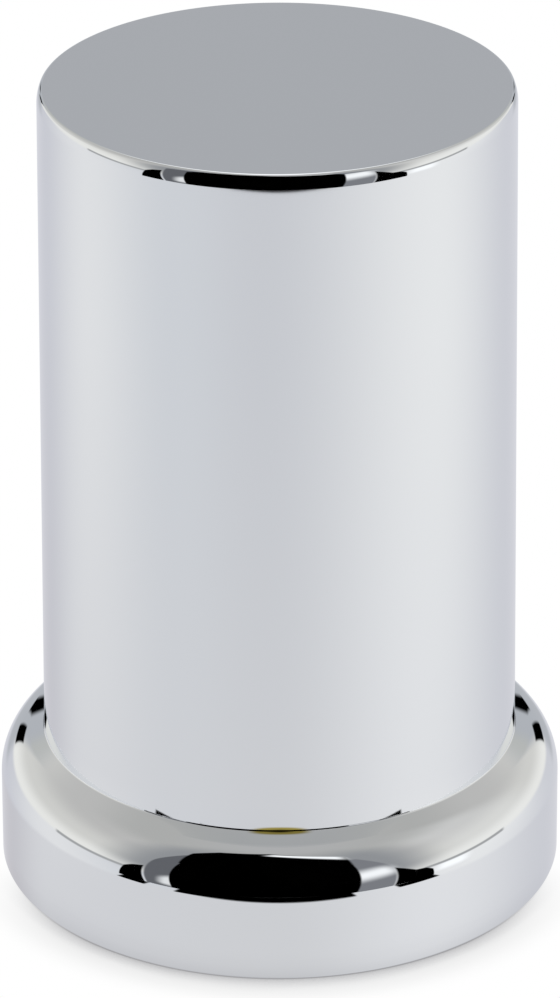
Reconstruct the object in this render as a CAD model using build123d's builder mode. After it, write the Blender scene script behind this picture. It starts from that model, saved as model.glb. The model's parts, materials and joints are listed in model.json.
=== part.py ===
"""Push-on cover cap for a hexagonal wheel nut.

A tall round barrel with a flat closed top stands on a flanged skirt. It is one thin-walled plastic moulding,
chrome plated all over. Inside, pairs of ribs grip the flats of the nut, and a round recess clears its washer.
Millimetres, +Z up, with the origin at the middle of the rim that meets the wheel.
"""

import os
from math import cos, radians, sin, tan

from build123d import *

# The nut that the cap goes over
nut_across_flats = 33.0
nut_sides = 6
corner_clearance = 1.85  # from the nut's corners to the barrel's bore, at the flange

# Barrel and top
overall_height = 80.0
barrel_wall = 2.2
barrel_draft = 0.6  # degrees
top_wall = 2.4
top_roll_drop = 0.8  # below the top, where the side would turn in if it had no rounding
top_roll_lean = 22.0  # degrees the side leans in above that
top_roll_radius = 2.9
top_bevel = 0.27  # along each face of the top's edge

# Flanged skirt
flange_projection = 4.35  # how far the rim stands out from the barrel
flange_height = 13.6  # where the shoulder meets the barrel
flange_draft = 0.4  # degrees
flange_wall = 2.2
shoulder_slope = 25.0  # degrees the shoulder falls away from the barrel
shoulder_radius = 5.0  # from the shoulder down into the skirt's wall
recess_bevel = 1.5  # inside corner under the shoulder, to keep the wall even
mouth_bevel = 1.0  # where the recess turns up into the bore

# Grip ribs
ribs_per_flat = 2
rib_thickness = 1.6
rib_spacing = 8.0
rib_bite = 0.1  # how far each rib presses into its flat
rib_lead_angle = 45.0  # degrees from the axis, to guide the nut in

# How far a cutting body runs past the face it leaves by
cut_past = 2.0

# Radii and heights that follow from those sizes
nut_corner_radius = nut_across_flats / 2 / cos(radians(180 / nut_sides))
barrel_lean = tan(radians(barrel_draft))
bore_foot_radius = nut_corner_radius + corner_clearance
barrel_foot_radius = bore_foot_radius + barrel_wall
flange_lean = tan(radians(flange_draft))
flange_rim_radius = barrel_foot_radius + flange_projection
recess_radius = flange_rim_radius - flange_height * flange_lean - flange_wall
recess_ceiling = flange_height - flange_wall
bore_ceiling = overall_height - top_wall
bore_mouth_radius = bore_foot_radius + flange_wall * barrel_lean
bore_top_radius = bore_foot_radius - (bore_ceiling - flange_height) * barrel_lean
rib_tip = nut_across_flats / 2 - rib_bite
rib_root = bore_foot_radius + barrel_wall / 2
rib_start = recess_ceiling + mouth_bevel
rib_tip_start = rib_start + (rib_root - rib_tip) / tan(radians(rib_lead_angle))

# The corners that are rounded: where the barrel's side turns in, and where the shoulder meets the skirt
roll_corner_height = overall_height - top_roll_drop
roll_corner_radius = barrel_foot_radius - (roll_corner_height - flange_height) * barrel_lean
top_corner_radius = roll_corner_radius - top_roll_drop * tan(radians(top_roll_lean))
shoulder_fall = tan(radians(shoulder_slope))
skirt_corner_height = (flange_height - flange_projection * shoulder_fall) / (1 - flange_lean * shoulder_fall)
skirt_corner_radius = flange_rim_radius - skirt_corner_height * flange_lean

# The hollow inside the cap, as the mould's core would be, with a slot for each rib
with BuildPart() as core:
    with BuildSketch(Plane.XZ):
        with BuildLine():
            Polyline(
                (0, bore_ceiling),
                (bore_top_radius, bore_ceiling),
                (bore_mouth_radius - mouth_bevel * barrel_lean, recess_ceiling + mouth_bevel),
                (bore_mouth_radius + mouth_bevel, recess_ceiling),
                (recess_radius - recess_bevel, recess_ceiling),
                (recess_radius, recess_ceiling - recess_bevel),
                (recess_radius, -cut_past),
                (0, -cut_past),
                close=True,
            )
        make_face()
    revolve(axis=Axis.Z)

    for side in range(nut_sides):
        flat = Plane.XZ.rotated((0, 0, side * 360 / nut_sides))
        with BuildSketch(*[
            flat.offset((place - (ribs_per_flat - 1) / 2) * rib_spacing)
            for place in range(ribs_per_flat)
        ]):
            with BuildLine():
                Polyline(
                    (rib_root, rib_start),
                    (rib_tip, rib_tip_start),
                    (rib_tip, bore_ceiling + cut_past),
                    (rib_root, bore_ceiling + cut_past),
                    close=True,
                )
            make_face()
        extrude(amount=rib_thickness / 2, both=True, mode=Mode.SUBTRACT)

# The moulding: the outer form with the core taken out
with BuildPart() as nut_cover_cap:
    with BuildSketch(Plane.XZ):
        with BuildLine():
            barrel = FilletPolyline(
                (
                    top_corner_radius + top_bevel * sin(radians(top_roll_lean)),
                    overall_height - top_bevel * cos(radians(top_roll_lean)),
                ),
                (roll_corner_radius, roll_corner_height),
                (barrel_foot_radius, flange_height),
                radius=top_roll_radius,
            )
            skirt = FilletPolyline(
                (barrel_foot_radius, flange_height),
                (skirt_corner_radius, skirt_corner_height),
                (flange_rim_radius, 0),
                radius=shoulder_radius,
            )
            Polyline(
                skirt @ 1,
                (0, 0),
                (0, overall_height),
                (top_corner_radius - top_bevel, overall_height),
                barrel @ 0,
            )
        make_face()
    revolve(axis=Axis.Z)
    add(core.part, mode=Mode.SUBTRACT)
nut_cover_cap.part.label = "nut_cover_cap"

os.makedirs("parts", exist_ok=True)
export_step(nut_cover_cap.part, "parts/nut_cover_cap.step")

print("barrel", round(2 * barrel_foot_radius, 2), "to", round(2 * roll_corner_radius, 2), "mm across")
print("flange", round(2 * flange_rim_radius, 2), "mm across")
print("top face", round(2 * (top_corner_radius - top_bevel), 2), "mm across")
print("recess radius", round(recess_radius, 3), "mm, to height", round(recess_ceiling - recess_bevel, 2))
print("volume", round(nut_cover_cap.part.volume), "mm3, area", round(nut_cover_cap.part.area), "mm2")
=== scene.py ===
# %% [markdown]
# # A chrome wheel nut cover, turned with Geometry Nodes
# The object is a tall push-on cap for a wheel nut: a round barrel with a flat closed top on a flanged
# skirt. It is one plastic moulding, plated with copper, nickel and bright chromium, so its whole look
# is what it mirrors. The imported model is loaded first. It fixes where the cap stands and how large it
# is, and nothing here moves it.

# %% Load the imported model
import json
import math

import bmesh
import bpy
from mathutils import Matrix, Vector


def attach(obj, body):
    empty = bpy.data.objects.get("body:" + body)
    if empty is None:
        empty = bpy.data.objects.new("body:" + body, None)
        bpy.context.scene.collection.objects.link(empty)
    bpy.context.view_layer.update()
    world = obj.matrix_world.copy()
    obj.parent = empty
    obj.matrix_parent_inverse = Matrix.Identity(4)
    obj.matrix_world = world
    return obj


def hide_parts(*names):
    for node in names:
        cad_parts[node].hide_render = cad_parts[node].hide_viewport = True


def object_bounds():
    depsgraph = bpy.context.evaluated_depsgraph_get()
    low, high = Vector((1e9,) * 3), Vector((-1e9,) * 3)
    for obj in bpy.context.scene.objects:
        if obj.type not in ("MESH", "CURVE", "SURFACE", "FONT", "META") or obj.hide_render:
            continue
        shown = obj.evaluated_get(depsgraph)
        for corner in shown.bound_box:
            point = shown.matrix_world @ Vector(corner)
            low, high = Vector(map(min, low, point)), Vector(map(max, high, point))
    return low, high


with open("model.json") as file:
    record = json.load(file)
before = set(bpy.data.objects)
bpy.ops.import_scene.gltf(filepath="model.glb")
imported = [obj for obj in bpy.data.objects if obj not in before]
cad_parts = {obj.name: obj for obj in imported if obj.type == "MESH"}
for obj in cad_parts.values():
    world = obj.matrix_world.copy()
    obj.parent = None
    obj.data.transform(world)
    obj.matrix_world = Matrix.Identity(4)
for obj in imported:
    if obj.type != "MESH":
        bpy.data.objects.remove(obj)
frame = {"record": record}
cad_low, cad_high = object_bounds()
print("cap as packed:", [round(1000 * side, 2) for side in cad_high - cad_low], "mm")

# %% [markdown]
# ## Sizes of the moulding
# A cap like this is drawn as half of its section, and that half is turned about the axis. The outline
# is a handful of corners, each with its own rounding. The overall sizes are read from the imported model,
# and the rest are the wall, draft and flange sizes of the moulding. All are millimetres, as on the
# drawing, and become metres in the node tree.

# %% Sizes in millimetres
MM = 0.001
recess_mount = next(mount for mount in frame["record"]["mounts"] if mount["name"] == "washer_recess")

overall_height = (cad_high.z - cad_low.z) / MM
rim_radius = (cad_high.x - cad_low.x) / 2 / MM
recess_radius = recess_mount["dims"]["r_mm"]
recess_depth = recess_mount["dims"]["length_mm"]

barrel_wall = 2.2
barrel_draft = 0.6  # degrees
top_wall = 2.4
top_roll_drop = 0.8
top_roll_lean = 22.0  # degrees the side leans in just below the top
flange_projection = 4.35
flange_height = 13.6
flange_draft = 0.4  # degrees
flange_wall = 2.2
shoulder_slope = 25.0  # degrees the shoulder falls away from the barrel
mouth_bevel = 1.0

barrel_lean = math.tan(math.radians(barrel_draft))
flange_lean = math.tan(math.radians(flange_draft))
barrel_foot_radius = rim_radius - flange_projection
bore_foot_radius = barrel_foot_radius - barrel_wall
bore_ceiling = overall_height - top_wall
recess_ceiling = flange_height - flange_wall
recess_bevel = recess_ceiling - recess_depth

# %% [markdown]
# Two roundings need a corner that isn't on the finished cap. Below the top the side rolls in, and the
# shoulder rolls down into the skirt's wall. Each corner is where the two straight runs would meet.

# %% The corners under the two large roundings
roll_height = overall_height - top_roll_drop
roll_radius = barrel_foot_radius - (roll_height - flange_height) * barrel_lean
shoulder_fall = math.tan(math.radians(shoulder_slope))
shoulder_height = (flange_height - flange_projection * shoulder_fall) / (1 - flange_lean * shoulder_fall)
print("side rolls in", round(roll_height, 2), "mm up")
print("shoulder rolls over", round(shoulder_height, 2), "mm up")

section_sizes = {
    "Overall height": overall_height,
    "Top radius": roll_radius - top_roll_drop * math.tan(math.radians(top_roll_lean)),
    "Roll radius": roll_radius,
    "Roll height": roll_height,
    "Barrel foot radius": barrel_foot_radius,
    "Flange height": flange_height,
    "Shoulder radius": rim_radius - shoulder_height * flange_lean,
    "Shoulder height": shoulder_height,
    "Rim radius": rim_radius,
    "Recess radius": recess_radius,
    "Recess bevel radius": recess_radius - recess_bevel,
    "Recess bevel height": recess_depth,
    "Recess ceiling": recess_ceiling,
    "Mouth radius": bore_foot_radius + flange_wall * barrel_lean + mouth_bevel,
    "Bore mouth radius": bore_foot_radius + (flange_wall - mouth_bevel) * barrel_lean,
    "Bore mouth height": recess_ceiling + mouth_bevel,
    "Bore top radius": bore_foot_radius - (bore_ceiling - flange_height) * barrel_lean,
    "Bore ceiling": bore_ceiling,
    "Top edge rounding": 0.4,
    "Roll rounding": 2.9,
    "Junction rounding": 0.2,
    "Shoulder rounding": 5.0,
    "Rim rounding": 0.25,
    "Inside rounding": 0.6,
    "Ring spacing": 2.5,
}

# %% [markdown]
# Inside stand six pairs of ribs, one pair for each flat of the nut. Each rib has a round nose that
# presses on the flat and a sloping foot that leads the nut in. They run up to the closed top, so that
# the mould's core can be drawn out.

# %% Rib sizes in millimetres
nut_across_flats = 33.0
nut_sides = 6
ribs_per_flat = 2
rib_bite = 0.1
rib_lead_angle = 45.0  # degrees
rib_into_wall = 0.3
rib_into_top = 1.0

rib_tip = nut_across_flats / 2 - rib_bite
rib_root = bore_foot_radius + rib_into_wall
lead_rise = (barrel_wall / 2 - rib_into_wall) / math.tan(math.radians(rib_lead_angle))
rib_foot = recess_ceiling + mouth_bevel + lead_rise

rib_sizes = {
    "Rib tip radius": rib_tip,
    "Rib root radius": rib_root,
    "Rib thickness": 1.6,
    "Rib nose rounding": 0.45,
    "Rib foot height": rib_foot,
    "Rib length": bore_ceiling + rib_into_top - rib_foot,
    "Rib spacing": 8.0,
}

# %% [markdown]
# ## One helper for every node tree
# Geometry, material and studio are all node trees. This one function adds a node of any kind, sets its
# properties, and fills its inputs: a plain value is written into the socket, and another node's output
# is linked to it.


# %% The node helper
def add_node(tree, kind, inputs=None, **settings):
    """Adds a node to a tree, with its settings, and its inputs by name or number as values or links."""
    node = tree.nodes.new(kind)
    for name, value in settings.items():
        setattr(node, name, value)
    for key, value in (inputs or {}).items():
        if isinstance(value, bpy.types.NodeSocket):
            tree.links.new(value, node.inputs[key])
        else:
            node.inputs[key].default_value = value
    return node


# %% [markdown]
# ## Bright chrome on moulded plastic
# ABS is etched, then plated with copper, nickel and a thin skin of chromium. Chromium is a slightly
# blue-grey mirror, so the eye reads it from sharp reflections, not from a colour. Three faint things
# keep it from looking like a perfect computer mirror: the moulded skin below is a little wavy, wiping
# leaves a thin haze here and there, and the plating dulls where current hardly reaches. That is inside
# the cap. At the front of the groove round the barrel's foot a reflection is painted on: a yellowish
# spot with a dark middle.


# %% Colours
def linear(hex_colour):
    """Turns an sRGB hex colour into linear red, green and blue, with alpha."""
    channels = [int(hex_colour[start:start + 2], 16) / 255 for start in (1, 3, 5)]
    return [c / 12.92 if c <= 0.04045 else ((c + 0.055) / 1.055) ** 2.4 for c in channels] + [1.0]


chromium = "#E2E5E8"
# The next two tones paint a reflection in the groove: a yellowish glint and its dark middle
painted_yellow_reflection = "#A89A4E"
painted_dark_reflection = "#3E3318"
inside_plating = "#B9B6AD"

# %% Chrome-plated ABS: a clear mirror outside, satin inside, with the faint waves of the moulding
MOULDING_WAVE = 7 * MM
MOULDING_WAVE_RISE = 0.0005 * MM
HAZE_PATCH = 9 * MM
HAZE_STARTS, HAZE_FULL = 0.35, 0.7
# Size of the painted reflection at the front of the groove, a yellowish spot with a dark middle
PAINTED_REFLECTION_SPOT = (3.4 * MM, 0.5 * MM, 0.5 * MM)  # half its length, depth and height
REFLECTION_EDGE, REFLECTION_MIDDLE = (1.0, 0.6), (0.5, 0.1)  # shares of those sizes
MIRROR_ROUGHNESS = (0.01, 0.025)
INSIDE_ROUGHNESS = (0.20, 0.32)
MIX_UNDER, MIX_OVER, MIX_RESULT = 6, 7, 2

chrome = bpy.data.materials.new("chrome_plated_abs")
chrome.use_nodes = True
plating = chrome.node_tree
plating.nodes.clear()
surface_place = add_node(plating, "ShaderNodeTexCoord").outputs["Object"]
inside = add_node(plating, "ShaderNodeAttribute", attribute_name="inside").outputs["Fac"]

# The painted reflection laid on the chromium: yellowish towards its edge, dark in its middle
groove_front = (0, -MM * barrel_foot_radius, MM * flange_height)
from_reflection_spot = add_node(plating, "ShaderNodeVectorMath", {0: surface_place, 1: groove_front},
                     operation="SUBTRACT")
in_reflection_spot_sizes = add_node(plating, "ShaderNodeVectorMath", {0: from_reflection_spot.outputs[0], 1: PAINTED_REFLECTION_SPOT},
                         operation="DIVIDE")
reflection_spot_distance = add_node(plating, "ShaderNodeVectorMath", {0: in_reflection_spot_sizes.outputs[0]}, operation="LENGTH")
outside_colour = linear(chromium)
for (spot_from, spot_to), painted_tone in ((REFLECTION_EDGE, painted_yellow_reflection), (REFLECTION_MIDDLE, painted_dark_reflection)):
    in_reflection_spot = add_node(plating, "ShaderNodeMapRange", {
        "Value": reflection_spot_distance.outputs["Value"], "From Min": spot_from, "From Max": spot_to},
        interpolation_type="SMOOTHSTEP")
    outside_colour = add_node(plating, "ShaderNodeMix", {
        0: in_reflection_spot.outputs[0], MIX_UNDER: outside_colour, MIX_OVER: linear(painted_tone)},
        data_type="RGBA").outputs[MIX_RESULT]
plating_colour = add_node(plating, "ShaderNodeMix", {
    0: inside, MIX_UNDER: outside_colour, MIX_OVER: linear(inside_plating)},
    data_type="RGBA")

haze = add_node(plating, "ShaderNodeTexNoise", {
    "Vector": surface_place, "Scale": 1 / HAZE_PATCH, "Detail": 4.0})
mirror, satin = [
    add_node(plating, "ShaderNodeMapRange", {
        "Value": haze.outputs["Fac"], "From Min": HAZE_STARTS, "From Max": HAZE_FULL,
        "To Min": clearest, "To Max": haziest}).outputs[0]
    for clearest, haziest in (MIRROR_ROUGHNESS, INSIDE_ROUGHNESS)]
polish = add_node(plating, "ShaderNodeMix", {0: inside, 2: mirror, 3: satin}, data_type="FLOAT")

waves = add_node(plating, "ShaderNodeTexNoise", {
    "Vector": surface_place, "Scale": 1 / MOULDING_WAVE, "Detail": 1.0})
skin = add_node(plating, "ShaderNodeBump", {
    "Height": waves.outputs["Fac"], "Strength": 1.0, "Distance": MOULDING_WAVE_RISE})
shader = add_node(plating, "ShaderNodeBsdfPrincipled", {
    "Base Color": plating_colour.outputs[MIX_RESULT], "Metallic": 1.0,
    "Roughness": polish.outputs[0], "Normal": skin.outputs[0]})
add_node(plating, "ShaderNodeOutputMaterial", {"Surface": shader.outputs[0]})
print("plating of", len(plating.nodes), "nodes")


# %% Helpers for the paper and the light tent: a turn, a wash of tones and a tone laid over part of it
white = linear("#FFFFFF")


def turn_from_front(tree, axes):
    """The turn round the cap's axis in degrees, positive to the right, and the reach to the front."""
    front = add_node(tree, "ShaderNodeMath", {0: axes["Y"], 1: -1.0}, operation="MULTIPLY").outputs[0]
    radians = add_node(tree, "ShaderNodeMath", {0: axes["X"], 1: front}, operation="ARCTAN2")
    degrees = add_node(tree, "ShaderNodeMath", {0: radians.outputs[0]}, operation="DEGREES")
    return degrees.outputs[0], front


def wash(tree, value, stops):
    """A smooth run of tones over a value, from stops of value and colour."""
    low, high = stops[0][0], stops[-1][0]
    share = add_node(tree, "ShaderNodeMapRange", {"Value": value, "From Min": low, "From Max": high})
    ramp = add_node(tree, "ShaderNodeValToRGB", {0: share.outputs[0]})
    ramp.color_ramp.interpolation = "EASE"
    points = ramp.color_ramp.elements
    while len(points) < len(stops):
        points.new(0.5)
    for point, (stop, tone) in zip(points, stops):
        point.position = (stop - low) / (high - low)
        point.color = linear(tone)
    return ramp.outputs[0]


def lay_over(tree, under, tone, edges, share=1.0):
    """Lays a tone inside soft edges, each a value, its limit, and a blend, negative on the far side."""
    cover = share
    for value, limit, blend in edges:
        step = add_node(tree, "ShaderNodeMapRange", {
            "Value": value, "From Min": limit - blend, "From Max": limit + blend},
            interpolation_type="SMOOTHSTEP")
        cover = add_node(tree, "ShaderNodeMath", {0: cover, 1: step.outputs[0]},
                         operation="MULTIPLY").outputs[0]
    return add_node(tree, "ShaderNodeMix", {0: cover, MIX_UNDER: under, MIX_OVER: linear(tone)},
                    data_type="RGBA").outputs[MIX_RESULT]


# %% [markdown]
# ## The section line
# A lathe follows a template, and so does this tree. Each corner of the section is a point whose place
# comes from the named sizes. The points become one line, Fillet Curve rounds its corners, and straight
# runs are divided so that the shading of a rounding can't spread along them. A Screw modifier could
# turn a drawn outline too, but here every size stays a named input that can be changed later.

# %% Corners of the section, from the middle of the top to the middle of the ceiling
AXIS, RIM = None, None
section_corners = (
    (AXIS, "Overall height", None, 0),
    ("Top radius", "Overall height", "Top edge rounding", 24),
    ("Roll radius", "Roll height", "Roll rounding", 24),
    ("Barrel foot radius", "Flange height", "Junction rounding", 16),
    ("Shoulder radius", "Shoulder height", "Shoulder rounding", 56),
    ("Rim radius", RIM, "Rim rounding", 6),
    ("Recess radius", RIM, "Rim rounding", 6),
    ("Recess radius", "Recess bevel height", "Inside rounding", 5),
    ("Recess bevel radius", "Recess ceiling", "Inside rounding", 5),
    ("Mouth radius", "Recess ceiling", "Inside rounding", 5),
    ("Bore mouth radius", "Bore mouth height", "Inside rounding", 5),
    ("Bore top radius", "Bore ceiling", "Inside rounding", 5),
    (AXIS, "Bore ceiling", None, 0),
)
first_inside_corner = 6

cap_tree = bpy.data.node_groups.new("Turned cap with grip ribs", "GeometryNodeTree")
for size_name in {**section_sizes, **rib_sizes}:
    cap_tree.interface.new_socket(size_name, in_out="INPUT", socket_type="NodeSocketFloat")
cap_tree.interface.new_socket("Mesh", in_out="OUTPUT", socket_type="NodeSocketGeometry")
size_of = add_node(cap_tree, "NodeGroupInput").outputs

index = add_node(cap_tree, "GeometryNodeInputIndex").outputs[0]
corner_place = add_node(cap_tree, "GeometryNodeIndexSwitch", {"Index": index}, data_type="VECTOR")
corner_rounding = add_node(cap_tree, "GeometryNodeIndexSwitch", {"Index": index}, data_type="FLOAT")
corner_steps = add_node(cap_tree, "GeometryNodeIndexSwitch", {"Index": index}, data_type="INT")
for switch in (corner_place, corner_rounding, corner_steps):
    while len(switch.index_switch_items) < len(section_corners):
        switch.index_switch_items.new()

for number, (radius, height, rounding, steps) in enumerate(section_corners):
    place = add_node(cap_tree, "ShaderNodeCombineXYZ")
    for axis_name, size_name in (("X", radius), ("Y", height)):
        if size_name:
            cap_tree.links.new(size_of[size_name], place.inputs[axis_name])
    cap_tree.links.new(place.outputs[0], corner_place.inputs[number + 1])
    if rounding:
        cap_tree.links.new(size_of[rounding], corner_rounding.inputs[number + 1])
    corner_steps.inputs[number + 1].default_value = steps

corner_points = add_node(cap_tree, "GeometryNodePoints", {
    "Count": len(section_corners), "Position": corner_place.outputs[0]})
print("section of", len(section_corners), "corners")

# %% [markdown]
# ## Turning the section
# Curve to Mesh carries the finished line round a circle, as a turned template would cut it. On a circle
# the line's second axis points down, so the line is turned over first. Its two ends lie on the axis,
# where each ring shrinks to a point, and merging those points closes the cap. A mark for the inside
# rides along on the line's points.

# %% The rounded line
inside_mark = add_node(cap_tree, "FunctionNodeCompare", {2: index, 3: first_inside_corner},
                       data_type="INT", operation="GREATER_EQUAL")
marked_points = add_node(cap_tree, "GeometryNodeStoreNamedAttribute", {
    "Geometry": corner_points.outputs[0], "Name": "inside", "Value": inside_mark.outputs[0]},
    data_type="FLOAT", domain="POINT")
line = add_node(cap_tree, "GeometryNodePointsToCurves", {"Points": marked_points.outputs[0]})
rounded_line = add_node(cap_tree, "GeometryNodeFilletCurve", {
    "Curve": line.outputs[0], "Count": corner_steps.outputs[0],
    "Radius": corner_rounding.outputs[0], "Limit Radius": True}, mode="POLY")

position = add_node(cap_tree, "GeometryNodeInputPosition").outputs[0]
next_index = add_node(cap_tree, "ShaderNodeMath", {0: index, 1: 1.0}, operation="ADD")
next_position = add_node(cap_tree, "GeometryNodeFieldAtIndex", {
    "Value": position, "Index": next_index.outputs[0]}, data_type="FLOAT_VECTOR", domain="POINT")
run_length = add_node(cap_tree, "ShaderNodeVectorMath", {0: position, 1: next_position.outputs[0]},
                      operation="DISTANCE")
run_cuts = add_node(cap_tree, "ShaderNodeMath", {
    0: run_length.outputs["Value"], 1: size_of["Ring spacing"]}, operation="DIVIDE")
divided_line = add_node(cap_tree, "GeometryNodeSubdivideCurve", {
    "Curve": rounded_line.outputs[0], "Cuts": run_cuts.outputs[0]})

# %% The turned wall
ROUND_STEPS = 256
TURNING_RADIUS = 1 * MM
MERGE_WITHIN = 0.001 * MM
turning_circle = add_node(cap_tree, "GeometryNodeCurvePrimitiveCircle", {
    "Resolution": ROUND_STEPS, "Radius": TURNING_RADIUS})
upright_circle = add_node(cap_tree, "GeometryNodeSetCurveNormal", {"Curve": turning_circle.outputs[0]},
                          mode="Z_UP")
template = add_node(cap_tree, "GeometryNodeTransform", {
    "Geometry": divided_line.outputs[0], "Translation": (-TURNING_RADIUS, 0, 0), "Scale": (1, -1, 1)})
turned = add_node(cap_tree, "GeometryNodeCurveToMesh", {
    "Curve": upright_circle.outputs[0], "Profile Curve": template.outputs[0]})
wall = add_node(cap_tree, "GeometryNodeMergeByDistance", {
    "Geometry": turned.outputs[0], "Distance": MERGE_WITHIN})
print("wall turned in", ROUND_STEPS, "steps")

# %% [markdown]
# ## The grip ribs
# One rib is a rounded bar in plan, raised to the closed top, with its foot sloped by height against
# radius. Points stand for its places, two to each flat of the nut, and Instance on Points sets a copy
# at each. Modelling twelve bars by hand would look the same, but moving one size would mean moving all.

# %% One rib as an upright bar
rib_depth = add_node(cap_tree, "ShaderNodeMath", {
    0: size_of["Rib root radius"], 1: size_of["Rib tip radius"]}, operation="SUBTRACT")
rib_sum = add_node(cap_tree, "ShaderNodeMath", {
    0: size_of["Rib root radius"], 1: size_of["Rib tip radius"]}, operation="ADD")
rib_middle = add_node(cap_tree, "ShaderNodeMath", {0: rib_sum.outputs[0], 1: 0.5}, operation="MULTIPLY")
rib_place = add_node(cap_tree, "ShaderNodeCombineXYZ", {
    "X": rib_middle.outputs[0], "Z": size_of["Rib foot height"]})
rib_rise = add_node(cap_tree, "ShaderNodeCombineXYZ", {"Z": size_of["Rib length"]})

plan = add_node(cap_tree, "GeometryNodeCurvePrimitiveQuadrilateral", {
    "Width": rib_depth.outputs[0], "Height": size_of["Rib thickness"]}, mode="RECTANGLE")
round_plan = add_node(cap_tree, "GeometryNodeFilletCurve", {
    "Curve": plan.outputs[0], "Count": 6, "Radius": size_of["Rib nose rounding"],
    "Limit Radius": True}, mode="POLY")
plan_face = add_node(cap_tree, "GeometryNodeFillCurve", {"Curve": round_plan.outputs[0]}, mode="NGONS")
raised = add_node(cap_tree, "GeometryNodeExtrudeMesh", {
    "Mesh": plan_face.outputs[0], "Offset": rib_rise.outputs[0], "Individual": False}, mode="FACES")
foot_face = add_node(cap_tree, "GeometryNodeFlipFaces", {"Mesh": plan_face.outputs[0]})
bar_faces = add_node(cap_tree, "GeometryNodeJoinGeometry")
for part in (raised, foot_face):
    cap_tree.links.new(part.outputs[0], bar_faces.inputs[0])
bar = add_node(cap_tree, "GeometryNodeMergeByDistance", {
    "Geometry": bar_faces.outputs[0], "Distance": MERGE_WITHIN})
set_bar = add_node(cap_tree, "GeometryNodeTransform", {
    "Geometry": bar.outputs[0], "Translation": rib_place.outputs[0]})

# %% The rib's sloping foot
bar_axes = add_node(cap_tree, "ShaderNodeSeparateXYZ", {0: position}).outputs
halfway_up = add_node(cap_tree, "ShaderNodeMath", {
    0: size_of["Rib length"], 1: 0.5, 2: size_of["Rib foot height"]}, operation="MULTIPLY_ADD")
at_foot = add_node(cap_tree, "FunctionNodeCompare", {0: bar_axes["Z"], 1: halfway_up.outputs[0]},
                   data_type="FLOAT", operation="LESS_THAN")
in_from_root = add_node(cap_tree, "ShaderNodeMath", {
    0: size_of["Rib root radius"], 1: bar_axes["X"]}, operation="SUBTRACT")
rise_per_inset = 1 / math.tan(math.radians(rib_lead_angle))
foot_rise = add_node(cap_tree, "ShaderNodeMath", {0: in_from_root.outputs[0], 1: rise_per_inset},
                     operation="MULTIPLY")
foot_offset = add_node(cap_tree, "ShaderNodeCombineXYZ", {"Z": foot_rise.outputs[0]})
rib = add_node(cap_tree, "GeometryNodeSetPosition", {
    "Geometry": set_bar.outputs[0], "Selection": at_foot.outputs[0], "Offset": foot_offset.outputs[0]})

# %% Twelve ribs, in pairs on the flats
rib_count = nut_sides * ribs_per_flat
flat_share = add_node(cap_tree, "ShaderNodeMath", {0: index, 1: float(ribs_per_flat)}, operation="DIVIDE")
flat_number = add_node(cap_tree, "ShaderNodeMath", {0: flat_share.outputs[0]}, operation="FLOOR")
flat_angle = add_node(cap_tree, "ShaderNodeMath", {
    0: flat_number.outputs[0], 1: math.tau / nut_sides}, operation="MULTIPLY")
pair_number = add_node(cap_tree, "ShaderNodeMath", {0: index, 1: float(ribs_per_flat)}, operation="MODULO")
pair_side = add_node(cap_tree, "ShaderNodeMath", {
    0: pair_number.outputs[0], 1: (ribs_per_flat - 1) / 2}, operation="SUBTRACT")
pair_offset = add_node(cap_tree, "ShaderNodeMath", {
    0: pair_side.outputs[0], 1: size_of["Rib spacing"]}, operation="MULTIPLY")
beside_flat = add_node(cap_tree, "ShaderNodeCombineXYZ", {"Y": pair_offset.outputs[0]})
rib_point = add_node(cap_tree, "ShaderNodeVectorRotate", {
    "Vector": beside_flat.outputs[0], "Angle": flat_angle.outputs[0]}, rotation_type="Z_AXIS")
rib_points = add_node(cap_tree, "GeometryNodePoints", {
    "Count": rib_count, "Position": rib_point.outputs[0]})
rib_turn = add_node(cap_tree, "ShaderNodeCombineXYZ", {"Z": flat_angle.outputs[0]})
ribs = add_node(cap_tree, "GeometryNodeInstanceOnPoints", {
    "Points": rib_points.outputs[0], "Instance": rib.outputs[0], "Rotation": rib_turn.outputs[0]})
all_ribs = add_node(cap_tree, "GeometryNodeRealizeInstances", {"Geometry": ribs.outputs[0]})
marked_ribs = add_node(cap_tree, "GeometryNodeStoreNamedAttribute", {
    "Geometry": all_ribs.outputs[0], "Name": "inside", "Value": 1.0}, data_type="FLOAT", domain="POINT")
print(rib_count, "ribs on", nut_sides, "flats")

# %% [markdown]
# ## One closed body
# The ribs stand a little way into the wall, so a union makes one skin of the two, as in the mould.
# The rounded edges then shade smoothly, and only the feet of the ribs keep a hard edge.

# %% Union, shading and material
HARD_EDGE = math.radians(32)
one_body = add_node(cap_tree, "GeometryNodeMeshBoolean", operation="UNION", solver="MANIFOLD")
for part in (wall, marked_ribs):
    cap_tree.links.new(part.outputs[0], one_body.inputs["Mesh 2"])
smooth = add_node(cap_tree, "GeometryNodeSetShadeSmooth", {
    "Geometry": one_body.outputs[0], "Shade Smooth": True}, domain="FACE")
edge_angle = add_node(cap_tree, "GeometryNodeInputMeshEdgeAngle")
hard = add_node(cap_tree, "FunctionNodeCompare", {0: edge_angle.outputs[0], 1: HARD_EDGE},
                data_type="FLOAT", operation="GREATER_THAN")
shaded = add_node(cap_tree, "GeometryNodeSetShadeSmooth", {
    "Geometry": smooth.outputs[0], "Selection": hard.outputs[0], "Shade Smooth": False}, domain="EDGE")
realized = add_node(cap_tree, "GeometryNodeRealizeInstances", {"Geometry": shaded.outputs[0]})
plated = add_node(cap_tree, "GeometryNodeSetMaterial", {
    "Geometry": realized.outputs[0], "Material": chrome})
add_node(cap_tree, "NodeGroupOutput", {"Mesh": plated.outputs[0]})

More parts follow.
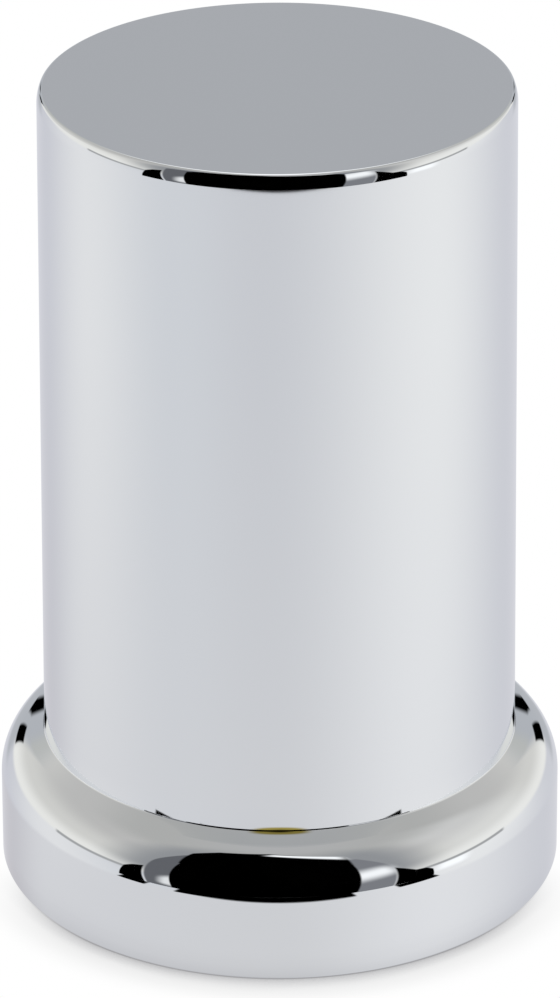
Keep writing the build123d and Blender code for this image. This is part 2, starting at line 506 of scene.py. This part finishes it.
# %% The cap as a plain mesh
cap_maker = bpy.data.objects.new("cap_maker", bpy.data.meshes.new("cap_blank"))
bpy.context.scene.collection.objects.link(cap_maker)
turning = cap_maker.modifiers.new("Turned cap", "NODES")
turning.node_group = cap_tree
all_sizes = {**section_sizes, **rib_sizes}
for item in cap_tree.interface.items_tree:
    if item.in_out == "INPUT":
        turning[item.identifier] = MM * all_sizes[item.name]
evaluated = cap_maker.evaluated_get(bpy.context.evaluated_depsgraph_get())
cap = bpy.data.objects.new("chrome_cap", bpy.data.meshes.new_from_object(evaluated))
bpy.data.objects.remove(cap_maker)
bpy.context.scene.collection.objects.link(cap)
cap.data.name = "chrome_cap"
triangles = sum(len(face.vertices) - 2 for face in cap.data.polygons)
print("cap mesh:", len(cap.data.vertices), "points,", triangles, "triangles")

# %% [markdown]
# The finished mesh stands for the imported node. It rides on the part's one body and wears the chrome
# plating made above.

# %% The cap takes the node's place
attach(cap, "root")
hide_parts("nut_cover_cap")

# %% [markdown]
# ## Floor
# The cap stands on white paper. To the camera the paper is plain white, apart from the soft shadow that
# gathers under the rim, which an Ambient Occlusion node finds. The light comes from above and behind, so
# the shadow fades round the sides. Chrome looks through the paper into the light tent below, a little
# dimmed by the shadow, and meets black card laid in front, just outside the picture. From underneath
# the paper can be seen through.

# %% White paper with a contact shadow
FLOOR_RADIUS = 225 * MM
FLOOR_GAP = 0.02 * MM
SHADOW_REACH = 6 * MM
SHADOW_STARTS, SHADOW_FULL = -4 * MM, -22 * MM  # places to the front of the cap's axis
shadow_by_openness = ((0.42, "#A0A0A2"), (0.50, "#B6B6B8"), (0.60, "#DADADB"), (0.72, "#F1F1F1"),
                      (1.0, "#FFFFFF"))
matt_paper = "#F4F4F4"
MIRRORED_SHADOW = 0.3
# Degrees round the axis from the front, and millimetres from the axis
floor_cards = (
    dict(sides=(-48, -39), reach=(43.0, 49.8)),
    dict(sides=(-29.8, 21), reach=(42.6, 50.6)),
    dict(sides=(33.8, 46.8), reach=(43.0, 49.9)),
)
CARD_SIDE_BLEND = 0.6  # degrees
CARD_NEAR_BLEND, CARD_FAR_BLEND = 0.2 * MM, 0.1 * MM
floor_mesh = bpy.data.meshes.new("paper_floor")
floor_shape = bmesh.new()
bmesh.ops.create_circle(floor_shape, cap_ends=True, segments=128, radius=FLOOR_RADIUS,
                        matrix=Matrix.Translation((0, 0, cad_low.z - FLOOR_GAP)))
floor_shape.to_mesh(floor_mesh)
floor_shape.free()
floor = bpy.data.objects.new("paper_floor", floor_mesh)
bpy.context.scene.collection.objects.link(floor)

paper = bpy.data.materials.new("white_paper")
paper.use_nodes = True
sheet = paper.node_tree
sheet.nodes.clear()
open_sky = add_node(sheet, "ShaderNodeAmbientOcclusion", {"Distance": SHADOW_REACH}, samples=16)
shadow_tone = wash(sheet, open_sky.outputs["AO"], shadow_by_openness)
paper_place = add_node(sheet, "ShaderNodeTexCoord").outputs["Object"]
paper_axes = add_node(sheet, "ShaderNodeSeparateXYZ", {0: paper_place}).outputs
shadow_share = add_node(sheet, "ShaderNodeMapRange", {
    "Value": paper_axes["Y"], "From Min": SHADOW_STARTS, "From Max": SHADOW_FULL},
    interpolation_type="SMOOTHSTEP")
seen_colour = add_node(sheet, "ShaderNodeMix", {
    0: shadow_share.outputs[0], MIX_UNDER: white, MIX_OVER: shadow_tone}, data_type="RGBA")
seen = add_node(sheet, "ShaderNodeEmission", {"Color": seen_colour.outputs[MIX_RESULT]})
matt = add_node(sheet, "ShaderNodeBsdfDiffuse", {"Color": linear(matt_paper)})
ray = add_node(sheet, "ShaderNodeLightPath").outputs
mirrored_share = add_node(sheet, "ShaderNodeMath", {0: ray["Is Glossy Ray"], 1: MIRRORED_SHADOW},
                          operation="MULTIPLY").outputs[0]
through = add_node(sheet, "ShaderNodeMix", {
    0: mirrored_share, MIX_UNDER: white, MIX_OVER: seen_colour.outputs[MIX_RESULT]},
    data_type="RGBA").outputs[MIX_RESULT]
paper_turn = turn_from_front(sheet, paper_axes)[0]
paper_reach = add_node(sheet, "ShaderNodeVectorMath", {0: paper_place}, operation="LENGTH").outputs["Value"]
for card in floor_cards:
    (side_from, side_to), (near, far) = card["sides"], card["reach"]
    through = lay_over(sheet, through, "#000000", (
        (paper_turn, side_from, CARD_SIDE_BLEND), (paper_turn, side_to, -CARD_SIDE_BLEND),
        (paper_reach, near * MM, CARD_NEAR_BLEND), (paper_reach, far * MM, -CARD_FAR_BLEND)),
        ray["Is Glossy Ray"])
clear = add_node(sheet, "ShaderNodeBsdfTransparent", {"Color": through})
underneath = add_node(sheet, "ShaderNodeNewGeometry").outputs["Backfacing"]
looks_through = add_node(sheet, "ShaderNodeMath", {0: ray["Is Glossy Ray"], 1: underneath},
                         operation="MAXIMUM")
from_above = add_node(sheet, "ShaderNodeMixShader", {
    0: ray["Is Camera Ray"], 1: matt.outputs[0], 2: seen.outputs[0]})
paper_shader = add_node(sheet, "ShaderNodeMixShader", {
    0: looks_through.outputs[0], 1: from_above.outputs[0], 2: clear.outputs[0]})
add_node(sheet, "ShaderNodeOutputMaterial", {"Surface": paper_shader.outputs[0]})
floor_mesh.materials.append(paper)
print("floor", round(2 * FLOOR_RADIUS / MM), "mm across")

# %% [markdown]
# ## The light tent
# Bright metal has no look of its own until it has something to mirror. Such caps are photographed in a
# white cloth tent, with black cards stood in front to draw the edges. Here the tent is drawn on the world
# by direction. Real cards on stands would do the same, but each would have to be kept out of the picture.
#
# A direction is told in two ways. All round, it is a turn from the camera's side, positive to the right,
# and a rise above the horizon, both in degrees. For the cards it is a place on an upright plane one metre
# in front of the cap, so many metres to the right and up, where the edges of a card are straight.

# %% Directions in the tent
world = bpy.data.worlds.new("light_tent")
bpy.context.scene.world = world
world.use_nodes = True
tent = world.node_tree
tent.nodes.clear()
looking = add_node(tent, "ShaderNodeTexCoord").outputs["Generated"]
look_axes = add_node(tent, "ShaderNodeSeparateXYZ", {0: looking}).outputs
turn, to_front = turn_from_front(tent, look_axes)
rise_radians = add_node(tent, "ShaderNodeMath", {0: look_axes["Z"]}, operation="ARCSINE")
rise = add_node(tent, "ShaderNodeMath", {0: rise_radians.outputs[0]}, operation="DEGREES").outputs[0]
off_middle = add_node(tent, "ShaderNodeMath", {0: turn}, operation="ABSOLUTE").outputs[0]

LEAST_FRONT = 0.001  # keeps the plane finite for directions behind it
in_front = add_node(tent, "ShaderNodeMath", {0: to_front, 1: LEAST_FRONT}, operation="MAXIMUM").outputs[0]
plane_right = add_node(tent, "ShaderNodeMath", {0: look_axes["X"], 1: in_front}, operation="DIVIDE")
plane_up = add_node(tent, "ShaderNodeMath", {0: look_axes["Z"], 1: in_front}, operation="DIVIDE")
on_plane = add_node(tent, "ShaderNodeCombineXYZ", {
    "X": plane_right.outputs[0], "Y": plane_up.outputs[0], "Z": 1.0}).outputs[0]

# %% The tent's cloth above and the paper below, as washes of tone
cloth_by_rise = ((-90, "#E4E2DD"), (2, "#E6E4DF"), (20, "#CECCC7"), (45, "#B9B7B4"), (62, "#ACABA8"),
                 (90, "#AEADAC"))
far_paper_by_turn = ((-180, "#C6C7CD"), (-150, "#C4C4CA"), (-102, "#DFDEDE"), (-50, "#CECFD2"),
                     (-8, "#C9C9CC"), (82, "#E6E5E4"), (148, "#C8C8CD"), (180, "#C6C7CD"))
near_paper_by_turn = ((-180, "#C6C5CA"), (-150, "#BDBBBF"), (-112, "#D0CFD1"), (0, "#CFCECF"),
                      (68, "#DEDDDE"), (150, "#C5C5CA"), (180, "#C6C5CA"))
FAR_PAPER, NEAR_PAPER = -23.0, -30.0
HORIZON, HORIZON_BLEND = -2.0, 3.0

cloth = wash(tent, rise, cloth_by_rise)
far_paper = wash(tent, turn, far_paper_by_turn)
near_paper = wash(tent, turn, near_paper_by_turn)
nearness = add_node(tent, "ShaderNodeMapRange", {
    "Value": rise, "From Min": FAR_PAPER, "From Max": NEAR_PAPER})
paper_tone = add_node(tent, "ShaderNodeMix", {
    0: nearness.outputs[0], MIX_UNDER: far_paper, MIX_OVER: near_paper}, data_type="RGBA")
above_paper = add_node(tent, "ShaderNodeMapRange", {
    "Value": rise, "From Min": HORIZON - HORIZON_BLEND, "From Max": HORIZON + HORIZON_BLEND},
    interpolation_type="SMOOTHSTEP")
tent_tone = add_node(tent, "ShaderNodeMix", {
    0: above_paper.outputs[0], MIX_UNDER: paper_tone.outputs[MIX_RESULT], MIX_OVER: cloth},
    data_type="RGBA").outputs[MIX_RESULT]

# %% Panels hung in the tent, by turn and rise
panels = (
    dict(tone="#909193", sides=(-68, 60), rises=(2, 68), soft=14, across=turn),
    dict(tone="#F2F1EE", sides=(72, 118), rises=(-6, 60), soft=12, across=turn, share=0.25),
    dict(tone="#FFFFFF", sides=(64, 78), rises=(-15, -4), soft=4, across=turn),
    dict(tone="#A0A0A0", sides=(58, 98), rises=(-4, 0), soft=1.2, across=off_middle),
    dict(tone="#AEB0B4", sides=(148, 200), rises=(-15, 50), soft=4, across=off_middle),
    dict(tone="#B6B6B1", sides=(148, 200), rises=(22, 50), soft=4, across=off_middle),
    dict(tone="#A6A7AA", sides=(168, 200), rises=(10, 50), soft=4, across=off_middle),
    dict(tone="#FFFFFF", sides=(162, 200), rises=(40, 80), soft=4, across=off_middle),
    dict(tone="#000000", sides=(147, 154), rises=(0, 13), soft=0.8, across=off_middle),
    dict(tone="#000000", sides=(158, 162), rises=(5, 14), soft=0.8, across=off_middle),
)
for panel in panels:
    sides, rises, soft = panel["sides"], panel["rises"], panel["soft"]
    tent_tone = lay_over(tent, tent_tone, panel["tone"], (
        (panel["across"], sides[0], soft), (panel["across"], sides[1], -soft),
        (rise, rises[0], soft), (rise, rises[1], -soft)), panel.get("share", 1.0))
print(len(panels), "panels hung in the tent")

# %% Cards stood in front, with corners clockwise in metres to the right and up
# The cards hang a little lower in the middle, so their feet just miss the barrel below the top edge
CARD_FOOT, CARD_FOOT_BLEND = -20.80, 0.03
CARD_FOOT_BOW = 0.00013  # degrees higher, for each square degree of turn
turn_square = add_node(tent, "ShaderNodeMath", {0: turn, 1: turn}, operation="MULTIPLY").outputs[0]
bowed_rise = add_node(tent, "ShaderNodeMath", {0: turn_square, 1: -CARD_FOOT_BOW, 2: rise},
                      operation="MULTIPLY_ADD").outputs[0]
cards = (
    dict(tone="#606165", soft=0.03, corners=(
        (-1.38, -0.8), (-1.38, 0.9), (-1.18, 1.9), (-0.90, 1.9), (-0.90, -0.8))),
    dict(tone="#DEDEDE", soft=0.10, corners=((-1.12, -0.42), (-1.08, -0.05), (-0.85, 0.1), (-0.84, -0.42))),
    dict(tone="#7A7B7F", soft=0.03, corners=(
        (0.50, -0.8), (0.55, 1.5), (0.80, 1.5), (1.03, 0.6), (1.03, -0.8))),
    dict(tone="#F6F6F6", soft=0.18, corners=(
        (0.45, 0.02), (0.50, 0.42), (0.97, 0.62), (1.06, 0.42), (1.06, 0.16))),
    dict(tone="#000000", soft=0.012, corners=((-0.94, -0.8), (-0.96, 1.0), (0.65, 1.0), (0.58, -0.8))),
    dict(tone="#000000", soft=0.02, corners=(
        (-0.98, 0.9), (-1.25, 2.5), (-1.10, 3.9), (-0.20, 4.1), (0.76, 1.95), (0.645, 0.9))),
    dict(tone="#FFFFFF", soft=0.10, corners=((-0.25, 3.15), (-0.10, 3.55), (0.74, 2.1), (0.69, 1.62))),
    dict(tone="#000000", soft=0.02, corners=(
        (-2.45, -1.2), (-1.95, 0.0), (-1.70, 0.22), (-1.43, 0.34), (-1.43, -1.2))),
    dict(tone="#000000", soft=0.02, corners=(
        (1.04, -0.8), (1.05, 0.42), (1.40, 0.0), (1.42, -0.8))),
    dict(tone="#000000", soft=0.02, corners=(
        (1.38, -1.2), (1.38, 0.02), (1.62, -0.04), (1.85, -0.28), (2.12, -1.2))),
)
for card in cards:
    corners = card["corners"]
    card_edges = [(bowed_rise, CARD_FOOT, CARD_FOOT_BLEND)]
    for (right_from, up_from), (right_to, up_to) in zip(corners, corners[1:] + corners[:1]):
        length = math.hypot(right_to - right_from, up_to - up_from)
        inwards = ((up_to - up_from) / length, (right_from - right_to) / length)
        behind = -(inwards[0] * right_from + inwards[1] * up_from)
        inside_edge = add_node(tent, "ShaderNodeVectorMath", {0: on_plane, 1: (*inwards, behind)},
                               operation="DOT_PRODUCT")
        card_edges.append((inside_edge.outputs["Value"], 0.0, card["soft"]))
    tent_tone = lay_over(tent, tent_tone, card["tone"], card_edges)
print(len(cards), "cards stood in front")

# %% What each kind of ray sees
TENT_STRENGTH = 1.28
tent_light = add_node(tent, "ShaderNodeBackground", {"Color": tent_tone, "Strength": TENT_STRENGTH})
white_light = add_node(tent, "ShaderNodeBackground", {"Color": white, "Strength": 1.0})
tent_ray = add_node(tent, "ShaderNodeLightPath").outputs["Is Glossy Ray"]
tent_mix = add_node(tent, "ShaderNodeMixShader", {
    0: tent_ray, 1: white_light.outputs[0], 2: tent_light.outputs[0]})
add_node(tent, "ShaderNodeOutputWorld", {"Surface": tent_mix.outputs[0]})

# %% [markdown]
# ## Camera
# The camera looks down on the cap from the front with a long lens, as for a catalogue picture, so the
# barrel hardly narrows. The place was worked out from the outlines of the top, the barrel and the rim.

# %% Camera
CAMERA_ELEVATION = math.radians(25.62)
CAMERA_DISTANCE = 525.5 * MM
AIM_HEIGHT = 37.26 * MM
CAMERA_ROLL = math.radians(0.2)
FRAMING = (0.123 * MM, 0.048 * MM)  # to the right and up
SENSOR_LONG_SIDE = 36.0
LENS = 196.7

back = Vector((0, -math.cos(CAMERA_ELEVATION), math.sin(CAMERA_ELEVATION)))
up = Vector((0, math.sin(CAMERA_ELEVATION), math.cos(CAMERA_ELEVATION)))
right = Vector((1, 0, 0))
camera_data = bpy.data.cameras.new("catalogue_camera")
camera_data.sensor_fit = "VERTICAL"
camera_data.sensor_height = SENSOR_LONG_SIDE
camera_data.lens = LENS
camera = bpy.data.objects.new("catalogue_camera", camera_data)
bpy.context.scene.collection.objects.link(camera)
aim = Vector((0, 0, AIM_HEIGHT))
place = aim + CAMERA_DISTANCE * back + FRAMING[0] * right + FRAMING[1] * up
facing = Matrix((right, up, back)).transposed().to_4x4()
camera.matrix_world = Matrix.Translation(place) @ facing @ Matrix.Rotation(-CAMERA_ROLL, 4, "Z")
bpy.context.scene.camera = camera
bpy.context.scene.view_settings.view_transform = "Standard"
print("camera at", [round(1000 * v, 1) for v in place], "mm")
